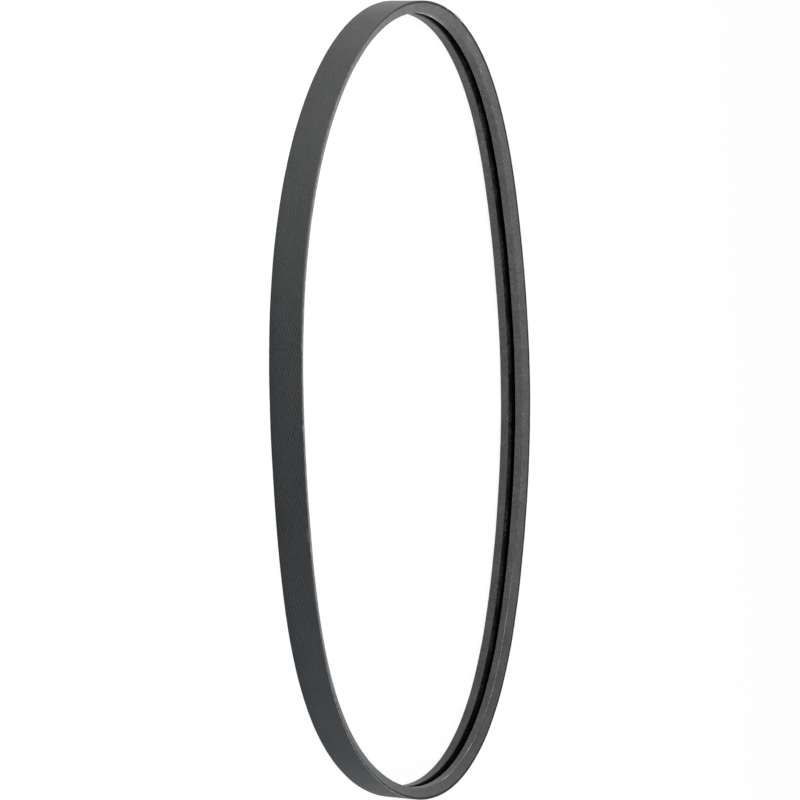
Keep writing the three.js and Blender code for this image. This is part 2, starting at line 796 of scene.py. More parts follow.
def rounded(before: Corner, corner: Corner, after: Corner) -> list[np.ndarray]:
    """The points of one corner of the section.

    Args:
        before: the corner before it.
        corner: the corner, with its radius.
        after: the corner after it.

    Returns:
        The corner itself, or the points of an arc that touches both of its sides.
    """
    here = np.array([corner.across, corner.depth])
    if corner.radius == 0:
        return [here]
    back = np.array([before.across, before.depth]) - here
    ahead = np.array([after.across, after.depth]) - here
    shorter = min(np.linalg.norm(back), np.linalg.norm(ahead))
    back /= np.linalg.norm(back)
    ahead /= np.linalg.norm(ahead)
    half_angle = math.acos(float(back @ ahead)) / 2
    reach = min(corner.radius / math.tan(half_angle), shorter / 2)
    radius = reach * math.tan(half_angle)
    bisector = (back + ahead) / np.linalg.norm(back + ahead)
    centre = here + bisector * (radius / math.sin(half_angle))
    spoke = here + back * reach - centre
    side = ahead[0] * back[1] - ahead[1] * back[0]
    turn = (math.pi - 2 * half_angle) * (1 if side > 0 else -1)
    points = []
    for k in range(corner.facets + 1):
        angle = turn * k / corner.facets
        cosine, sine = math.cos(angle), math.sin(angle)
        spun = np.array([spoke[0] * cosine - spoke[1] * sine, spoke[0] * sine + spoke[1] * cosine])
        points.append(centre + spun)
    return points


# Unevenness of the real belt


@dataclass(frozen=True)
class Ripple:
    """Smooth unevenness that closes on itself round the loop."""

    height: float
    fewest_waves: int
    most_waves: int
    turns_across: float
    seed: int
    terms: int = 14

    def heights(self, turn: np.ndarray, girth: np.ndarray) -> np.ndarray:
        """Works out the ripple.

        Args:
            turn: places along the belt, as angles.
            girth: places round the section.

        Returns:
            The height for each place along, and for each place round the section.
        """
        random = np.random.default_rng(self.seed)
        total = np.zeros((len(turn), len(girth)))
        for _ in range(self.terms):
            waves = random.integers(self.fewest_waves, self.most_waves + 1)
            phase = random.uniform(0, FULL_TURN)
            slant = random.uniform(-1, 1) * self.turns_across * FULL_TURN
            total += np.cos(waves * turn[:, None] + slant * girth[None, :] + phase)
        return total * (self.height / math.sqrt(self.terms))


@dataclass(frozen=True)
class Nick:
    """A small chip out of the upper cut edge."""

    along: float
    length: float
    depth: float


@dataclass(frozen=True)
class Blister:
    """A small swelling of the surface."""

    along: float
    girth: float
    reach: float
    height: float


# Finishes


def no_less(least: float, share: Sock) -> Sock:
    """A share from 0 to 1 squeezed into the range above a least value.

    Args:
        least: what it becomes where the share is 0.
        share: the share.

    Returns:
        The squeezed share, still 1 where the share is 1.
    """
    return least + (1 - least) * share


@dataclass(frozen=True)
class TieBandFabric:
    """The woven fabric on the belt's back, pressed flat and filled with rubber in the mould.

    Two families of threads cross at a narrow angle to the belt's length, so the gaps between them are short
    dark dashes along it, in slanting rows.
    """

    thread: Colour = (0.066, 0.075, 0.077)
    thread_tinted: Colour = (0.071, 0.0745, 0.079)
    gap: Colour = (0.018, 0.021, 0.023)
    # Pale colour for places of wear and for painted highlights along the back's rounded edge
    rub_and_highlight: Colour = (0.33, 0.335, 0.33)
    tinted_patches: Pattern = Pattern(32, 3, 0.6, low=0.38, high=0.62)
    clouds: Pattern = Pattern(9, 4, finer_across=2.5)
    cloud_swing: float = 0.36
    grain: Pattern = Pattern(800, 2)
    grain_swing: float = 0.96

    repeats_along: int = 240
    repeats_across: float = 318.0
    thread_wander: Pattern = Pattern(40, 2)
    wander_swing: float = 2.6
    shown_patches: Pattern = Pattern(22, 3, low=0.32, high=0.66)
    least_patch: float = 0.35
    gap_unevenness: Pattern = Pattern(330, 3, 0.6, low=0.40, high=0.66)
    faintest_gap: float = 0.10
    uneven_gap: float = 1.70
    gap_share: float = 0.36
    least_at_ends: float = 0.15
    side_phase: float = 0.35
    side_power: int = 3

    # Wear and a painted highlight along the back's rounded edge near the near end
    rubbed_lit_corner: Mark = Mark(1190 * MM, 120 * MM, "BACK_END", -0.25 * MM, 0.3 * MM, 0.9, 90 * MM)
    broken_rub: Pattern = Pattern(260, 3, 0.6, 0.4, 0.38, 0.62)
    least_rub: float = 0.45
    # Broad lighter patches of the back; the one at the far end is a painted highlight where the back turns
    # towards the lamp
    paler_and_lit_patches: tuple[Mark, ...] = (
        Mark(1755 * MM, 100 * MM, "BACK_END", -16 * MM, 40 * MM, 0.17, 90 * MM),
        Mark(1320 * MM, 80 * MM, "BACK_END", -16 * MM, 40 * MM, 0.17, 90 * MM),
        Mark(2045 * MM, 45 * MM, "BACK_END", -16 * MM, 40 * MM, 0.38, 70 * MM),
    )
    # Lighter flecks and small chipped spots on the back's edge; the first two, longer marks are a painted
    # highlight along the back's rounded edge
    specks_and_lit_rim: tuple[Mark, ...] = (
        Mark(1725 * MM, 95 * MM, "BACK_END", -0.4 * MM, 1.2 * MM, 0.13, 90 * MM),
        Mark(1400 * MM, 22 * MM, "BACK_END", -0.4 * MM, 1.0 * MM, 0.12, 30 * MM),
        Mark(36 * MM, 2 * MM, "BACK_END", 0.0, 0.5 * MM, 0.6, 3 * MM),
        Mark(60 * MM, 12 * MM, "BACK_END", 0.1 * MM, 0.7 * MM, 1.0, 5 * MM),
        Mark(1112 * MM, 4 * MM, "BACK_END", -0.6 * MM, 0.8 * MM, 0.8),
        Mark(1447 * MM, 6 * MM, "BACK_END", -1.2 * MM, 1.2 * MM, 0.22),
        Mark(1544 * MM, 3 * MM, "BACK_END", 0.0, 0.6 * MM, 0.7, 3 * MM),
    )

    fuzz: Pattern = Pattern(1400, 1)
    fuzz_height: float = 0.25
    relief: float = 0.10 * MM
    relief_strength: float = 0.5
    dullness: Pattern = Pattern(60, 3)
    dullness_swing: float = 0.10
    roughness: float = 0.66
    specular: float = 0.2
    sheen: float = 0.05
    sheen_roughness: float = 0.4

    def material(self, line: LoopLine, outline: Outline) -> bpy.types.Material:
        """Builds the material.

        Args:
            line: the belt's line, for its length.
            outline: the section's points and marks.

        Returns:
            The material.
        """
        material, tree = new_material("tie_band_fabric")
        places = outline.marks
        run = RunCoordinates.on(tree, line.back_length)
        gap = self.weave(tree, run, line)
        cloudy = 1 + run.sway(self.clouds, self.cloud_swing)
        grainy = 1 + run.sway(self.grain, self.grain_swing)
        colour = tree.mix(run.patches(self.tinted_patches), self.thread, self.thread_tinted)
        colour = tree.mix(tree.clamp(gap), colour, self.gap)
        colour = tree.tint(colour, cloudy * grainy * (1 + run.marked(self.paler_and_lit_patches, places, run.girth)))

        # Wear, with painted highlights along the back's rounded edge
        corner = run.marked((self.rubbed_lit_corner,), places, run.girth)
        worn_and_lit = corner * no_less(self.least_rub, run.patches(self.broken_rub))
        worn_and_lit = worn_and_lit + run.marked(self.specks_and_lit_rim, places, run.girth)
        height = self.fuzz_height * run.lumps(self.fuzz) - gap
        inputs = {
            "Base Color": tree.mix(tree.clamp(worn_and_lit), colour, self.rub_and_highlight),
            "Roughness": self.roughness + run.sway(self.dullness, self.dullness_swing),
            "Normal": tree.bump(height, self.relief, self.relief_strength),
            "Specular IOR Level": self.specular,
            "Sheen Weight": self.sheen,
            "Sheen Roughness": self.sheen_roughness,
        }
        close_surface(tree, inputs)
        return material

    def weave(self, tree: ShaderTree, run: RunCoordinates, line: LoopLine) -> Sock:
        """The pattern of gaps between the threads, clearest along the belt's long sides.

        Args:
            tree: the material's tree.
            run: where on the belt a point lies.
            line: the belt's line, for its length.

        Returns:
            0 on the threads, and up to 1 in the gaps.
        """
        lengthwise = run.along * (FULL_TURN * self.repeats_along / line.back_length)
        crosswise = run.girth * (FULL_TURN * self.repeats_across)
        wander = run.sway(self.thread_wander, self.wander_swing)
        left = tree.maths("COSINE", lengthwise + crosswise + wander)
        right = tree.maths("COSINE", lengthwise - crosswise + wander)
        sides = run.along * (2 * FULL_TURN / line.back_length) + self.side_phase
        long_sides = (0.5 - 0.5 * tree.maths("COSINE", sides)) ** self.side_power
        uneven = self.faintest_gap + self.uneven_gap * run.patches(self.gap_unevenness)
        shown = no_less(self.least_patch, run.patches(self.shown_patches))
        shown = shown * no_less(self.least_at_ends, long_sides) * uneven
        return self.gap_share - self.gap_share * (left + right) * shown


@dataclass(frozen=True)
class RibCover:
    """The rubberised wrapping fabric of the ribs: mottled, lighter where wear has reached it, with painted
    highlights and painted shade.
    """

    cover: Colour = (0.0675, 0.0735, 0.0735)
    cover_tinted: Colour = (0.0715, 0.0730, 0.0785)
    cover_far_end: Colour = (0.0660, 0.0660, 0.0655)
    # Painted shade: the near-black that the groove's shadow is painted with on the ribs' corners
    shade: Colour = (0.002, 0.002, 0.002)
    # Pale colour for places of wear and for painted highlights on the corners and at the far end
    rub_and_highlight: Colour = (0.19, 0.187, 0.180)
    scratched: Colour = (0.50, 0.54, 0.58)
    tinted_patches: Pattern = Pattern(30, 3, 0.6, low=0.38, high=0.62)
    far_end: Stretch = Stretch(20 * MM, 100 * MM, 60 * MM)
    blotches: Pattern = Pattern(55, 4, 0.6, 1.6)
    blotch_swing: float = 1.06
    grain: Pattern = Pattern(480, 3, 0.65)
    grain_swing: float = 2.10

    twill_pitch: float = 1.3 * MM
    twill_depth: float = 0.14
    twill_wander: Pattern = Pattern(90, 2)
    twill_wander_swing: float = 3.0
    twill_patches: Pattern = Pattern(25, 2, low=0.35, high=0.65)

    # The corners' rounding is painted lighter, partly for wear and partly as a painted highlight
    corner_rub_and_highlight_width: float = 0.8 * MM
    corner_strength: float = 0.40
    half_arc: float = 0.6
    broken_rub: Pattern = Pattern(160, 4, 0.65, 0.3, 0.44, 0.60)
    flecks: Pattern = Pattern(210, 3, 0.6, 1.8, 0.62, 0.74)
    fleck_strength: float = 0.22
    more_flecks: Stretch = Stretch(100 * MM, 170 * MM, 160 * MM)
    more_fleck_strength: float = 0.40
    # Painted highlight: the near rib's bottom at the far end is painted lighter and brighter, where it
    # catches the light at a grazing angle
    far_end_highlight_mark: Mark = Mark(2076 * MM, 45 * MM, "UPPER_BOTTOM_START", 6.2 * MM, 1.5 * MM, 1.0, 60 * MM)
    far_end_highlight_tone: float = 2.0
    least_far_end_highlight: float = 0.5
    rubs: tuple[Mark, ...] = (
        Mark(84 * MM, 3 * MM, "UPPER_BOTTOM_START", 4.3 * MM, 0.8 * MM, 0.45),
        Mark(98 * MM, 4 * MM, "FLANK_START", 3.4 * MM, 1.0 * MM, 0.50),
        Mark(147 * MM, 3 * MM, "FLANK_START", 7.8 * MM, 0.7 * MM, 0.60),
        Mark(173 * MM, 3 * MM, "UPPER_BOTTOM_START", 0.4 * MM, 0.8 * MM, 0.60),
        Mark(212 * MM, 8 * MM, "FLANK_START", 6.8 * MM, 0.7 * MM, 0.45),
        Mark(230 * MM, 6 * MM, "FLANK_START", 7.4 * MM, 0.7 * MM, 0.45),
        Mark(1433 * MM, 11 * MM, "FLANK_START", 1.5 * MM, 3.0 * MM, 0.55),
    )
    least_rub: float = 0.4

    slow_wander: Pattern = Pattern(18, 2)
    slow_wander_swing: float = 2.4 * MM
    quick_wander: Pattern = Pattern(110, 2)
    quick_wander_swing: float = 0.7 * MM
    ragged_scratch: Pattern = Pattern(300, 3, 0.6, 0.5, 0.36, 0.58)
    least_scratch: float = 0.25
    scratches: tuple[Mark, ...] = (
        Mark(779 * MM, 86 * MM, "UPPER_BOTTOM_START", 2.3 * MM, 0.16 * MM, 0.95, 60 * MM),
        Mark(933 * MM, 50 * MM, "UPPER_BOTTOM_START", 2.1 * MM, 0.20 * MM, 0.85, 14 * MM),
        Mark(904 * MM, 8 * MM, "UPPER_BOTTOM_START", 2.6 * MM, 0.22 * MM, 0.60, 8 * MM),
        Mark(972 * MM, 10 * MM, "UPPER_BOTTOM_START", 1.6 * MM, 0.26 * MM, 0.90, 8 * MM),
    )
    # Painted shade: the ribs are darkened over long stretches, most towards the near end, where less lamp
    # light falls
    shade_stretches: tuple[Mark, ...] = (
        Mark(860 * MM, 120 * MM, "UPPER_BOTTOM_START", 0.9 * MM, 0.8 * MM, 0.20, 60 * MM),
        Mark(910 * MM, 180 * MM, "FLANK_START", 6.0 * MM, 5.0 * MM, 0.25, 80 * MM),
        Mark(560 * MM, 330 * MM, "LOWER_BOTTOM_START", 4.0 * MM, 5.0 * MM, 0.10, 80 * MM),
        Mark(950 * MM, 65 * MM, "LOWER_BOTTOM_START", 4.0 * MM, 5.0 * MM, 0.26, 40 * MM),
    )

    # Painted light: at the far end the painted shade is held back from the far rib's lip, which is lit there
    lit_lip_stretch: Stretch = Stretch(25 * MM, 60 * MM, 60 * MM)
    lit_lip_shade_shift: float = 1.5 * MM
    shade_before: float = 0.25 * MM
    shade_after: float = 0.35 * MM
    shade_reach: float = 1.7 * MM
    full_shade_reach: float = 0.1 * MM
    ragged_shade: Pattern = Pattern(420, 3, 0.6)
    ragged_shade_swing: float = 2.0 * MM

    relief: float = 0.06 * MM
    relief_strength: float = 0.5
    roughness: float = 0.70
    blotch_roughness: float = 0.16
    rubbed_smoothness: float = 0.06
    specular: float = 0.22
    sheen: float = 0.30
    sheen_roughness: float = 0.35
    coat: float = 0.22
    coat_roughness: float = 0.30

    def material(self, line: LoopLine, section: BeltSection, outline: Outline) -> bpy.types.Material:
        """Builds the material.

        Args:
            line: the belt's line, for its length.
            section: the belt's section, for its rounding.
            outline: the section's points and marks.

        Returns:
            The material.
        """
        material, tree = new_material("rib_cover")
        places = outline.marks
        run = RunCoordinates.on(tree, line.back_length)
        blotchy = run.sway(self.blotches, 1.0)
        grain = run.lumps(self.grain)
        twill = self.twill(tree, run, line)

        broken = run.patches(self.broken_rub)
        fleck_strength = self.fleck_strength + self.more_fleck_strength * run.within(self.more_flecks)
        # Painted highlight on the near rib's bottom at the far end
        far_end_highlight = run.marked((self.far_end_highlight_mark,), places, run.girth)
        far_end_highlight = far_end_highlight * no_less(self.least_far_end_highlight, broken)
        rub_and_highlight = self.corner_strength * self.corner_rub_and_highlight(tree, run, places, section) * broken + far_end_highlight
        rub_and_highlight = rub_and_highlight + run.marked(self.rubs, places, run.girth) * no_less(self.least_rub, broken)
        rub_and_highlight = rub_and_highlight + run.patches(self.flecks) * fleck_strength
        wandering = run.girth + run.sway(self.slow_wander, self.slow_wander_swing)
        wandering = wandering + run.sway(self.quick_wander, self.quick_wander_swing)
        scratched = run.marked(self.scratches, places, wandering)
        scratched = scratched * no_less(self.least_scratch, run.patches(self.ragged_scratch))

        colour = tree.mix(run.patches(self.tinted_patches), self.cover, self.cover_tinted)
        colour = tree.mix(run.within(self.far_end), colour, self.cover_far_end)
        colour = tree.mix(tree.clamp(rub_and_highlight), colour, self.rub_and_highlight)
        tone = (1 + self.blotch_swing * blotchy) * (1 + self.grain_swing * (grain - 0.5)) * twill
        tone = tone * (1 - run.marked(self.shade_stretches, places, wandering))
        colour = tree.tint(colour, tone * (1 + self.far_end_highlight_tone * far_end_highlight))
        colour = tree.mix(tree.clamp(scratched), colour, self.scratched)
        shaded = self.groove_shade(tree, run, places)
        roughness = self.roughness + self.blotch_roughness * blotchy - self.rubbed_smoothness * rub_and_highlight
        inputs = {
            "Base Color": tree.mix(shaded, colour, self.shade),
            "Roughness": tree.clamp(roughness),
            "Normal": tree.bump(grain - twill, self.relief, self.relief_strength),
            "Specular IOR Level": self.specular,
            "Sheen Weight": self.sheen,
            "Sheen Roughness": self.sheen_roughness,
            "Coat Weight": self.coat * (1 - shaded),
            "Coat Roughness": self.coat_roughness,
        }
        close_surface(tree, inputs)
        return material

    def twill(self, tree: ShaderTree, run: RunCoordinates, line: LoopLine) -> Sock:
        """The slanting lines of the wrapping fabric, which show in places.

        Args:
            tree: the material's tree.
            run: where on the belt a point lies.
            line: the belt's line, for its length.

        Returns:
            A factor for the colour, 1 between the lines and a little less on them.
        """
        around = round(line.back_length / self.twill_pitch)
        lengthwise = run.along * (FULL_TURN * around / line.back_length)
        slant = lengthwise + run.girth * (FULL_TURN / self.twill_pitch)
        wander = run.sway(self.twill_wander, self.twill_wander_swing)
        wave = 0.5 + 0.5 * tree.maths("SINE", slant + wander)
        return 1 - self.twill_depth * wave * run.patches(self.twill_patches)

    def groove_shade(self, tree: ShaderTree, run: RunCoordinates, places: dict[str, float]) -> Sock:
        """The groove's shade painted onto the corners of both ribs, more so on the lower one, and held back
        from the lit lip at the far end.

        Args:
            tree: the material's tree.
            run: where on the belt a point lies.
            places: the girth of the section's features.

        Returns:
            The mask.
        """
        low = places["UPPER_BOTTOM_END"]
        high = places["LOWER_BOTTOM_START"]
        entering = tree.smooth_step(run.girth, low - self.shade_before, low + self.shade_after)
        lit_lip_shift = run.within(self.lit_lip_stretch) * self.lit_lip_shade_shift
        ragged = run.girth + lit_lip_shift + run.sway(self.ragged_shade, self.ragged_shade_swing)
        leaving = tree.smooth_step(ragged, high + self.shade_reach, high + self.full_shade_reach)
        return entering * leaving

    def corner_rub_and_highlight(
        self, tree: ShaderTree, run: RunCoordinates, places: dict[str, float], section: BeltSection
    ) -> Sock:
        """A mask of the ribs' bottom corners, where the cover shows wear and a painted highlight along the
        rounding.

        Args:
            tree: the material's tree.
            run: where on the belt a point lies.
            places: the girth of the section's features.
            section: the belt's section, for its rounding.

        Returns:
            The mask.
        """
        half_arc = self.half_arc * section.rib_corner_radius
        corners = (
            places["UPPER_BOTTOM_START"] + half_arc,
            places["UPPER_BOTTOM_END"] - half_arc,
            places["LOWER_BOTTOM_START"] + half_arc,
            places["LOWER_BOTTOM_END"] - half_arc,
        )
        total: Sock | float = 0.0
        for place in corners:
            total = total + tree.stripe(run.girth, place, self.corner_rub_and_highlight_width / 2, self.corner_rub_and_highlight_width)
        return tree.clamp(total)


@dataclass(frozen=True)
class GrooveWall:
    """The moulded walls and root of the groove between the ribs: black rubber painted near-black for the
    groove's shade, with a dusting and painted light by its mouth.
    """

    # Painted shade: the groove's rubber gets a near-black colour, darkest outside the dusty stretch, so that
    # the groove reads as deep shadow
    rubber: Colour = (0.004, 0.004, 0.004)
    clean_rubber_in_shade: Colour = (0.0008, 0.0008, 0.0008)
    dust_and_mouth_light: Colour = (0.052, 0.054, 0.057)
    dusty_stretch: Stretch = Stretch(480 * MM, 340 * MM, 100 * MM)
    dusty_patches: Pattern = Pattern(24, 3, finer_across=0.5, low=0.36, high=0.60)
    least_dust: float = 0.15
    speckles: Pattern = Pattern(420, 3, 0.65, low=0.40, high=0.60)
    least_speckle: float = 0.15
    dust_and_light_reach: float = 7.0 * MM
    full_dust_and_light_reach: float = 2.0 * MM
    lip_reach: float = 2.2 * MM
    roughness: float = 0.9
    specular: float = 0.02

    def material(self, line: LoopLine, outline: Outline) -> bpy.types.Material:
        """Builds the material.

        Args:
            line: the belt's line, for its length.
            outline: the section's points and marks.

        Returns:
            The material.
        """
        material, tree = new_material("groove_wall")
        run = RunCoordinates.on(tree, line.back_length)
        mouth = outline.marks["LOWER_BOTTOM_START"]
        # Lighter towards the mouth: a dusting, and painted light where more light reaches near the mouth
        dust_and_light_by_mouth = tree.smooth_step(run.girth, mouth - self.dust_and_light_reach, mouth - self.full_dust_and_light_reach)
        dusty_stretch = run.within(self.dusty_stretch)
        dusty = no_less(self.least_dust, run.patches(self.dusty_patches) * dusty_stretch)
        speckled = no_less(self.least_speckle, run.patches(self.speckles))
        # Painted light on the far rib's lip near the mouth at the far end
        lip = tree.smooth_step(run.girth, mouth - self.lip_reach, mouth) * run.within(RibCover.lit_lip_stretch)
        share = tree.clamp(dust_and_light_by_mouth * speckled * dusty + lip)
        rubber = tree.mix(dusty_stretch, self.clean_rubber_in_shade, self.rubber)
        inputs = {
            "Base Color": tree.mix(share, rubber, self.dust_and_mouth_light),
            "Roughness": self.roughness,
            "Specular IOR Level": self.specular,
        }
        close_surface(tree, inputs)
        return material


@dataclass(frozen=True)
class CutFabric:
    """The knife-cut edge of the tie band: dark rubber with the plies' threads ending in it."""

    rubber: Colour = (0.022, 0.021, 0.020)
    thread: Colour = (0.085, 0.080, 0.072)
    # Pale colour for places of wear and for a painted highlight along a long stretch of the edge
    rub_and_highlight: Colour = (0.31, 0.32, 0.33)
    ply_pitch: float = 0.8 * MM
    thread_ends: Pattern = Pattern(1100, 2, low=0.52, high=0.66)
    ends_between_plies: float = 0.25
    ends_in_plies: float = 0.5
    knife_drag: Pattern = Pattern(120, 3, finer_across=12.0)
    drag_swing: float = 0.6

    broken_rub: Pattern = Pattern(260, 3, 0.6, 0.4, 0.38, 0.62)
    least_rub: float = 0.4
    # Wear and a painted highlight along the edge's corner near the near end
    rubbed_lit_corner: Mark = Mark(1190 * MM, 120 * MM, "CUT_EDGE_START", 0.1 * MM, 0.35 * MM, 0.8, 90 * MM)
    # Places where the edge is chipped; the long first mark is a painted highlight on the edge along the near
    # strand, seen there at a grazing angle
    chips_and_lit_stretch: tuple[Mark, ...] = (
        Mark(1590 * MM, 290 * MM, "CUT_EDGE_START", 0.85 * MM, 1.0 * MM, 0.62, 160 * MM),
        Mark(36 * MM, 2 * MM, "CUT_EDGE_START", 0.2 * MM, 0.8 * MM, 0.6, 3 * MM),
        Mark(65 * MM, 10 * MM, "CUT_EDGE_START", 0.0, 1.0 * MM, 1.6, 4 * MM),
        Mark(92 * MM, 3 * MM, "CUT_EDGE_START", 0.0, 0.8 * MM, 0.8, 4 * MM),
        Mark(1433 * MM, 9 * MM, "CUT_EDGE_START", 0.7 * MM, 1.0 * MM, 0.8),
        Mark(1544 * MM, 3 * MM, "CUT_EDGE_START", 0.4 * MM, 0.8 * MM, 0.6, 3 * MM),
        Mark(1599 * MM, 2 * MM, "CUT_EDGE_START", 0.6 * MM, 0.8 * MM, 0.8, 2 * MM),
        Mark(1615 * MM, 2 * MM, "CUT_EDGE_START", 0.6 * MM, 0.8 * MM, 0.8, 2 * MM),
    )

    ply_height: float = 0.5
    drag_height: float = 0.5
    end_height: float = 0.4
    relief: float = 0.12 * MM
    relief_strength: float = 0.7
    roughness: float = 0.80
    end_roughness: float = 0.10
    specular: float = 0.2
    sheen: float = 0.10
    sheen_roughness: float = 0.35

    def material(self, line: LoopLine, outline: Outline) -> bpy.types.Material:
        """Builds the material.

        Args:
            line: the belt's line, for its length.
            outline: the section's points and marks.

        Returns:
            The material.
        """
        material, tree = new_material("cut_fabric_edge")
        places = outline.marks
        run = RunCoordinates.on(tree, line.back_length)
        ply = 0.5 + 0.5 * tree.maths("SINE", run.girth * (FULL_TURN / self.ply_pitch))
        ends = run.patches(self.thread_ends)
        drag = run.lumps(self.knife_drag)
        share = tree.clamp(ends * (self.ends_between_plies + self.ends_in_plies * ply))
        colour = tree.mix(share, self.rubber, self.thread)
        colour = tree.tint(colour, 1 + self.drag_swing * (drag - 0.5))
        # Wear and chipped spots, with a painted highlight along part of the edge
        worn_and_lit = run.marked((self.rubbed_lit_corner, *self.chips_and_lit_stretch), places, run.girth)
        worn_and_lit = worn_and_lit * no_less(self.least_rub, run.patches(self.broken_rub))
        height = self.ply_height * ply + self.drag_height * drag + self.end_height * ends
        inputs = {
            "Base Color": tree.mix(worn_and_lit, colour, self.rub_and_highlight),
            "Roughness": self.roughness + self.end_roughness * ends,
            "Normal": tree.bump(height, self.relief, self.relief_strength),
            "Specular IOR Level": self.specular,
            "Sheen Weight": self.sheen,
            "Sheen Roughness": self.sheen_roughness,
        }
        close_surface(tree, inputs)
        return material


# The belt


@dataclass
class BandedBelt:
    """The whole belt: its section carried once round its line, with the unevenness of the real one."""

    line: LoopLine = field(default_factory=LoopLine)
    section: BeltSection = field(default_factory=BeltSection)
    ripples: tuple[Ripple, ...] = (
        Ripple(0.05 * MM, 6, 40, 30.0, 11),
        Ripple(0.03 * MM, 60, 220, 60.0, 12),
    )
    edge_ripple: Ripple = Ripple(0.07 * MM, 20, 160, 0.0, 13)
    nicks: tuple[Nick, ...] = (
        Nick(36 * MM, 4 * MM, 0.20 * MM),
        Nick(94 * MM, 4 * MM, 0.45 * MM),
        Nick(233 * MM, 4 * MM, 0.20 * MM),
        Nick(1437 * MM, 7 * MM, 0.25 * MM),
    )
    blisters: tuple[Blister, ...] = (
        Blister(58 * MM, 31.3 * MM, 4.5 * MM, 0.45 * MM),
        Blister(67 * MM, 31.3 * MM, 6.0 * MM, 0.80 * MM),
        Blister(1448 * MM, 28.6 * MM, 4.5 * MM, 0.55 * MM),
    )
    highest_rise: float = 0.1 * MM
    sharp_edge_deg: float = 38
    bake_rows: int = 5
    bake_margin: float = 1.0 * MM

    def build(self) -> bpy.types.Object:
        """Makes the belt's mesh and dresses it.

        Returns:
            The belt's object.
        """
        outline = self.section.outline()
        places, outward = self.line.walk()
        mesh = bpy.data.meshes.new("belt")
        points = self.relieved(outline)
        flat = places[:, None, :] - points[:, :, 1:2] * outward[:, None, :]
        vertices = np.concatenate([flat, points[:, :, 0:1]], axis=2)
        quads = self.quads(len(outline.points))
        mesh.from_pydata(vertices.reshape(-1, 3).tolist(), [], quads.tolist())
        kinds = [FINISH_OF_FACE[face].value for face in outline.faces]
        mesh.polygons.foreach_set("material_index", np.tile(kinds, self.line.stations).astype(np.int32))
        self.add_maps(mesh, outline)
        mesh.polygons.foreach_set("use_smooth", np.ones(len(quads), bool))
        mesh.set_sharp_from_angle(angle=math.radians(self.sharp_edge_deg))
        belt = bpy.data.objects.new("belt", mesh)
        bpy.context.scene.collection.objects.link(belt)
        mesh.materials.append(TieBandFabric().material(self.line, outline))
        mesh.materials.append(CutFabric().material(self.line, outline))
        mesh.materials.append(RibCover().material(self.line, self.section, outline))
        mesh.materials.append(GrooveWall().material(self.line, outline))
        mesh.update()
        log.info("belt: %d triangles, girth %.1f mm", 2 * len(quads), outline.girth[-1] / MM)
        return belt

    def quads(self, across: int) -> np.ndarray:
        """The faces between neighbouring sections.

        Args:
            across: the number of points of the section.

        Returns:
            Four vertex numbers for each face, station by station.
        """
        here = np.arange(self.line.stations)[:, None] * across
        ahead = np.roll(here, -1, axis=0)
        point = np.arange(across)[None, :]
        beside = (point + 1) % across
        corners = [here + point, here + beside, ahead + beside, ahead + point]
        return np.stack(corners, axis=2).reshape(-1, 4)

    def relieved(self, outline: Outline) -> np.ndarray:
        """The section at each station, with the belt's unevenness.

        Args:
            outline: the section's points.

        Returns:
            The place across and the depth of every point, by station and point.
        """
        turn = np.arange(self.line.stations) * (FULL_TURN / self.line.stations)
        along = turn * (self.line.back_length / FULL_TURN)
        girth = outline.girth[:-1]
        height = sum(ripple.heights(turn, girth) for ripple in self.ripples)
        for blister in self.blisters:
            apart = np.hypot(along[:, None] - blister.along, girth[None, :] - blister.girth)
            height = height + blister.height * np.exp(-((apart / blister.reach) ** 2))
        points = outline.points[None, :, :] + height[:, :, None] * outline.normals[None, :, :]
        rim = np.array([face in (Face.CUT_EDGE, Face.SHOULDER) for face in outline.faces])
        upper = rim & (outline.points[:, 0] > self.section.width / 2)
        wander = self.edge_ripple.heights(turn, np.zeros(1))
        for nick in self.nicks:
            apart = (along[:, None] - nick.along) / (nick.length / 2)
            wander = wander - nick.depth * np.exp(-(apart**2))
        points[:, upper, 0] += wander
        points[:, :, 0] = np.clip(points[:, :, 0], 0.0, self.section.width + self.highest_rise)
        return points

    def add_maps(self, mesh: bpy.types.Mesh, outline: Outline) -> None:
        """Gives the mesh its two maps: the run that the finishes read, and a layout in rows for a bake.

        Args:
            mesh: the belt's mesh.
            outline: the section's points.
        """
        stations = self.line.stations
        girth = outline.girth
        across = len(outline.points)
        step = self.line.back_length / stations
        along = np.stack([np.arange(stations), np.arange(stations) + 1], axis=1) * step
        corner_along = along[:, None, [0, 0, 1, 1]].repeat(across, axis=1)
        around = np.stack([girth[:-1], girth[1:]], axis=1)
        corner_girth = around[None, :, [0, 1, 1, 0]].repeat(stations, axis=0)
        run = np.stack([corner_along, corner_girth], axis=3)
        mesh.uv_layers.new(name=RUN_MAP).uv.foreach_set("vector", run.astype(np.float32).ravel())

        row_length = self.line.back_length / self.bake_rows
        row_height = girth[-1] + 2 * self.bake_margin
        side = max(row_length + 2 * self.bake_margin, row_height * self.bake_rows)
        row = (np.arange(stations) * self.bake_rows // stations)[:, None, None]
        u = (corner_along - row * row_length + self.bake_margin) / side
        v = (corner_girth + row * row_height + self.bake_margin) / side
        baked = np.stack([u, v], axis=3)
        mesh.uv_layers.new(name=BAKE_MAP).uv.foreach_set("vector", baked.astype(np.float32).ravel())


# The studio


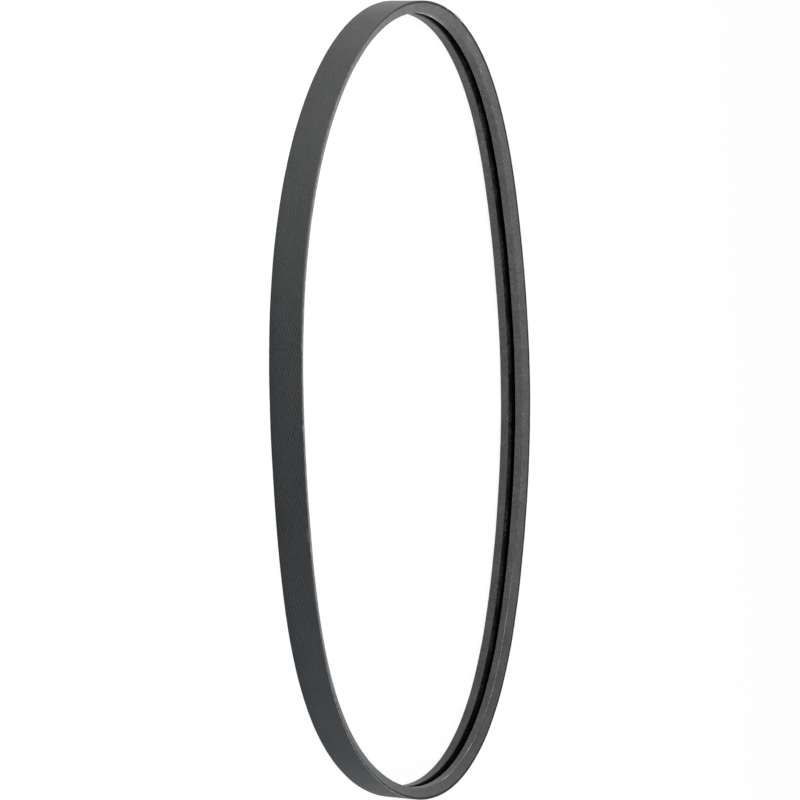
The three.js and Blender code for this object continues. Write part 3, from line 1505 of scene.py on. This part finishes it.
@dataclass(frozen=True)
class SoftBox:
    """A large soft lamp that faces one point and isn't seen itself."""

    name: str
    place: Place
    width: float
    height: float
    power: float
    colour: Colour
    aim: Place = (0.0, 0.0, 0.0)

    def build(self) -> bpy.types.Object:
        """Makes the lamp.

        Returns:
            Its object.
        """
        light = bpy.data.lights.new(self.name, "AREA")
        light.shape = "RECTANGLE"
        light.size = self.width
        light.size_y = self.height
        light.energy = self.power
        light.color = self.colour
        lamp = bpy.data.objects.new(self.name, light)
        lamp.visible_camera = False
        lamp.location = self.place
        towards = Vector(self.aim) - Vector(self.place)
        lamp.rotation_euler = towards.to_track_quat("-Z", "Y").to_euler()
        bpy.context.scene.collection.objects.link(lamp)
        return lamp


@dataclass(frozen=True)
class ViewPoint:
    """The camera: it looks down on the lying belt from beside its long side, and is turned on its side."""

    target: Place = (-22.79 * MM, 6.25 * MM, 15.75 * MM)
    distance: float = 2999.3 * MM
    bearing_deg: float = 176.327
    elevation_deg: float = 23.924
    roll_deg: float = 92.707
    lens_mm: float = 144.0
    sensor_mm: float = 36.0
    farthest: float = 50.0

    def build(self) -> bpy.types.Object:
        """Makes the camera and sets it as the scene's.

        Returns:
            Its object.
        """
        data = bpy.data.cameras.new("camera")
        data.lens = self.lens_mm
        data.sensor_width = self.sensor_mm
        data.clip_end = self.farthest
        camera = bpy.data.objects.new("camera", data)
        bearing = math.radians(self.bearing_deg)
        elevation = math.radians(self.elevation_deg)
        level = math.cos(elevation)
        back = Vector((level * math.cos(bearing), level * math.sin(bearing), math.sin(elevation)))
        upright = back.to_track_quat("Z", "Y").to_matrix().to_4x4()
        place = Matrix.Translation(Vector(self.target) + back * self.distance)
        roll = Matrix.Rotation(math.radians(self.roll_deg), 4, "Z")
        camera.matrix_world = place @ upright @ roll
        bpy.context.scene.collection.objects.link(camera)
        bpy.context.scene.camera = camera
        return camera


@dataclass
class Studio:
    """A pale floor, an even pale surround and soft lamps."""

    floor_radius: float = 9.0
    floor_sides: int = 96
    floor_drop: float = 0.02 * MM
    floor_colour: Colour = (0.9, 0.9, 0.9)
    floor_glow: float = 1.05
    floor_share: float = 0.90
    surround: float = 0.22
    lamps: tuple[SoftBox, ...] = (
        SoftBox("far_end_soft_box", (-0.2, 0.6, 0.6), 0.6, 0.4, 7.3, (1.05, 0.98, 0.91)),
        SoftBox("near_end_soft_box", (-0.2, -1.6, 1.8), 1.4, 1.4, 23.0, (0.94, 0.98, 1.08)),
    )

    def build(self) -> None:
        """Makes the floor, the surround, the lamps and the camera."""
        self.build_floor()
        self.build_surround()
        for lamp in self.lamps:
            lamp.build()
        ViewPoint().build()
        log.info("studio: %d lamps", len(self.lamps))

    @staticmethod
    def seen_directly(tree: ShaderTree) -> Sock:
        """Tells the rays that see a background plainly from those that light the belt.

        Args:
            tree: the shader tree of the background.

        Returns:
            1 for rays from the camera, and for those that come off gloss or through glass.
        """
        camera = tree.node("ShaderNodeLightPath", output="Is Camera Ray")
        paths = camera.socket.node.outputs
        glossy = Sock(tree, paths["Is Glossy Ray"])
        through = Sock(tree, paths["Is Transmission Ray"])
        return tree.clamp(camera + glossy + through)

    def build_floor(self) -> None:
        """Makes the round floor, which looks white and keeps the belt's shadow."""
        mesh = bpy.data.meshes.new("floor")
        angles = [FULL_TURN * k / self.floor_sides for k in range(self.floor_sides)]
        rim = [(self.floor_radius * math.cos(a), self.floor_radius * math.sin(a), 0.0) for a in angles]
        mesh.from_pydata(rim, [], [tuple(range(self.floor_sides))])
        floor = bpy.data.objects.new("floor", mesh)
        floor.location = (0.0, 0.0, -self.floor_drop)
        bpy.context.scene.collection.objects.link(floor)
        material, tree = new_material("white_floor")
        matt = tree.node("ShaderNodeBsdfDiffuse", None, {"Color": self.floor_colour})
        white = tree.node("ShaderNodeEmission", None, {"Color": WHITE, "Strength": self.floor_glow})
        share = self.floor_share * self.seen_directly(tree)
        mixed = tree.node("ShaderNodeMixShader", None, {0: share, 1: matt, 2: white})
        tree.node("ShaderNodeOutputMaterial", None, {"Surface": mixed})
        mesh.materials.append(material)

    def build_surround(self) -> None:
        """Gives the scene an even pale surround, which looks white to the camera."""
        world = bpy.data.worlds.new("surround")
        bpy.context.scene.world = world
        tree = ShaderTree(world)
        seen = self.seen_directly(tree)
        strength = self.surround + (1.0 - self.surround) * seen
        shader = tree.node("ShaderNodeBackground", None, {"Color": WHITE, "Strength": strength})
        tree.node("ShaderNodeOutputWorld", None, {"Surface": shader})


def main() -> None:
    """Builds the belt and the studio."""
    logging.basicConfig(level=logging.INFO, format="%(name)s %(message)s")
    bpy.context.scene.view_settings.view_transform = "Standard"
    belt = BandedBelt().build()
    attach(belt, BODY)
    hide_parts(BELT_NODE)
    Studio().build()


if __name__ == "__main__":
    main()
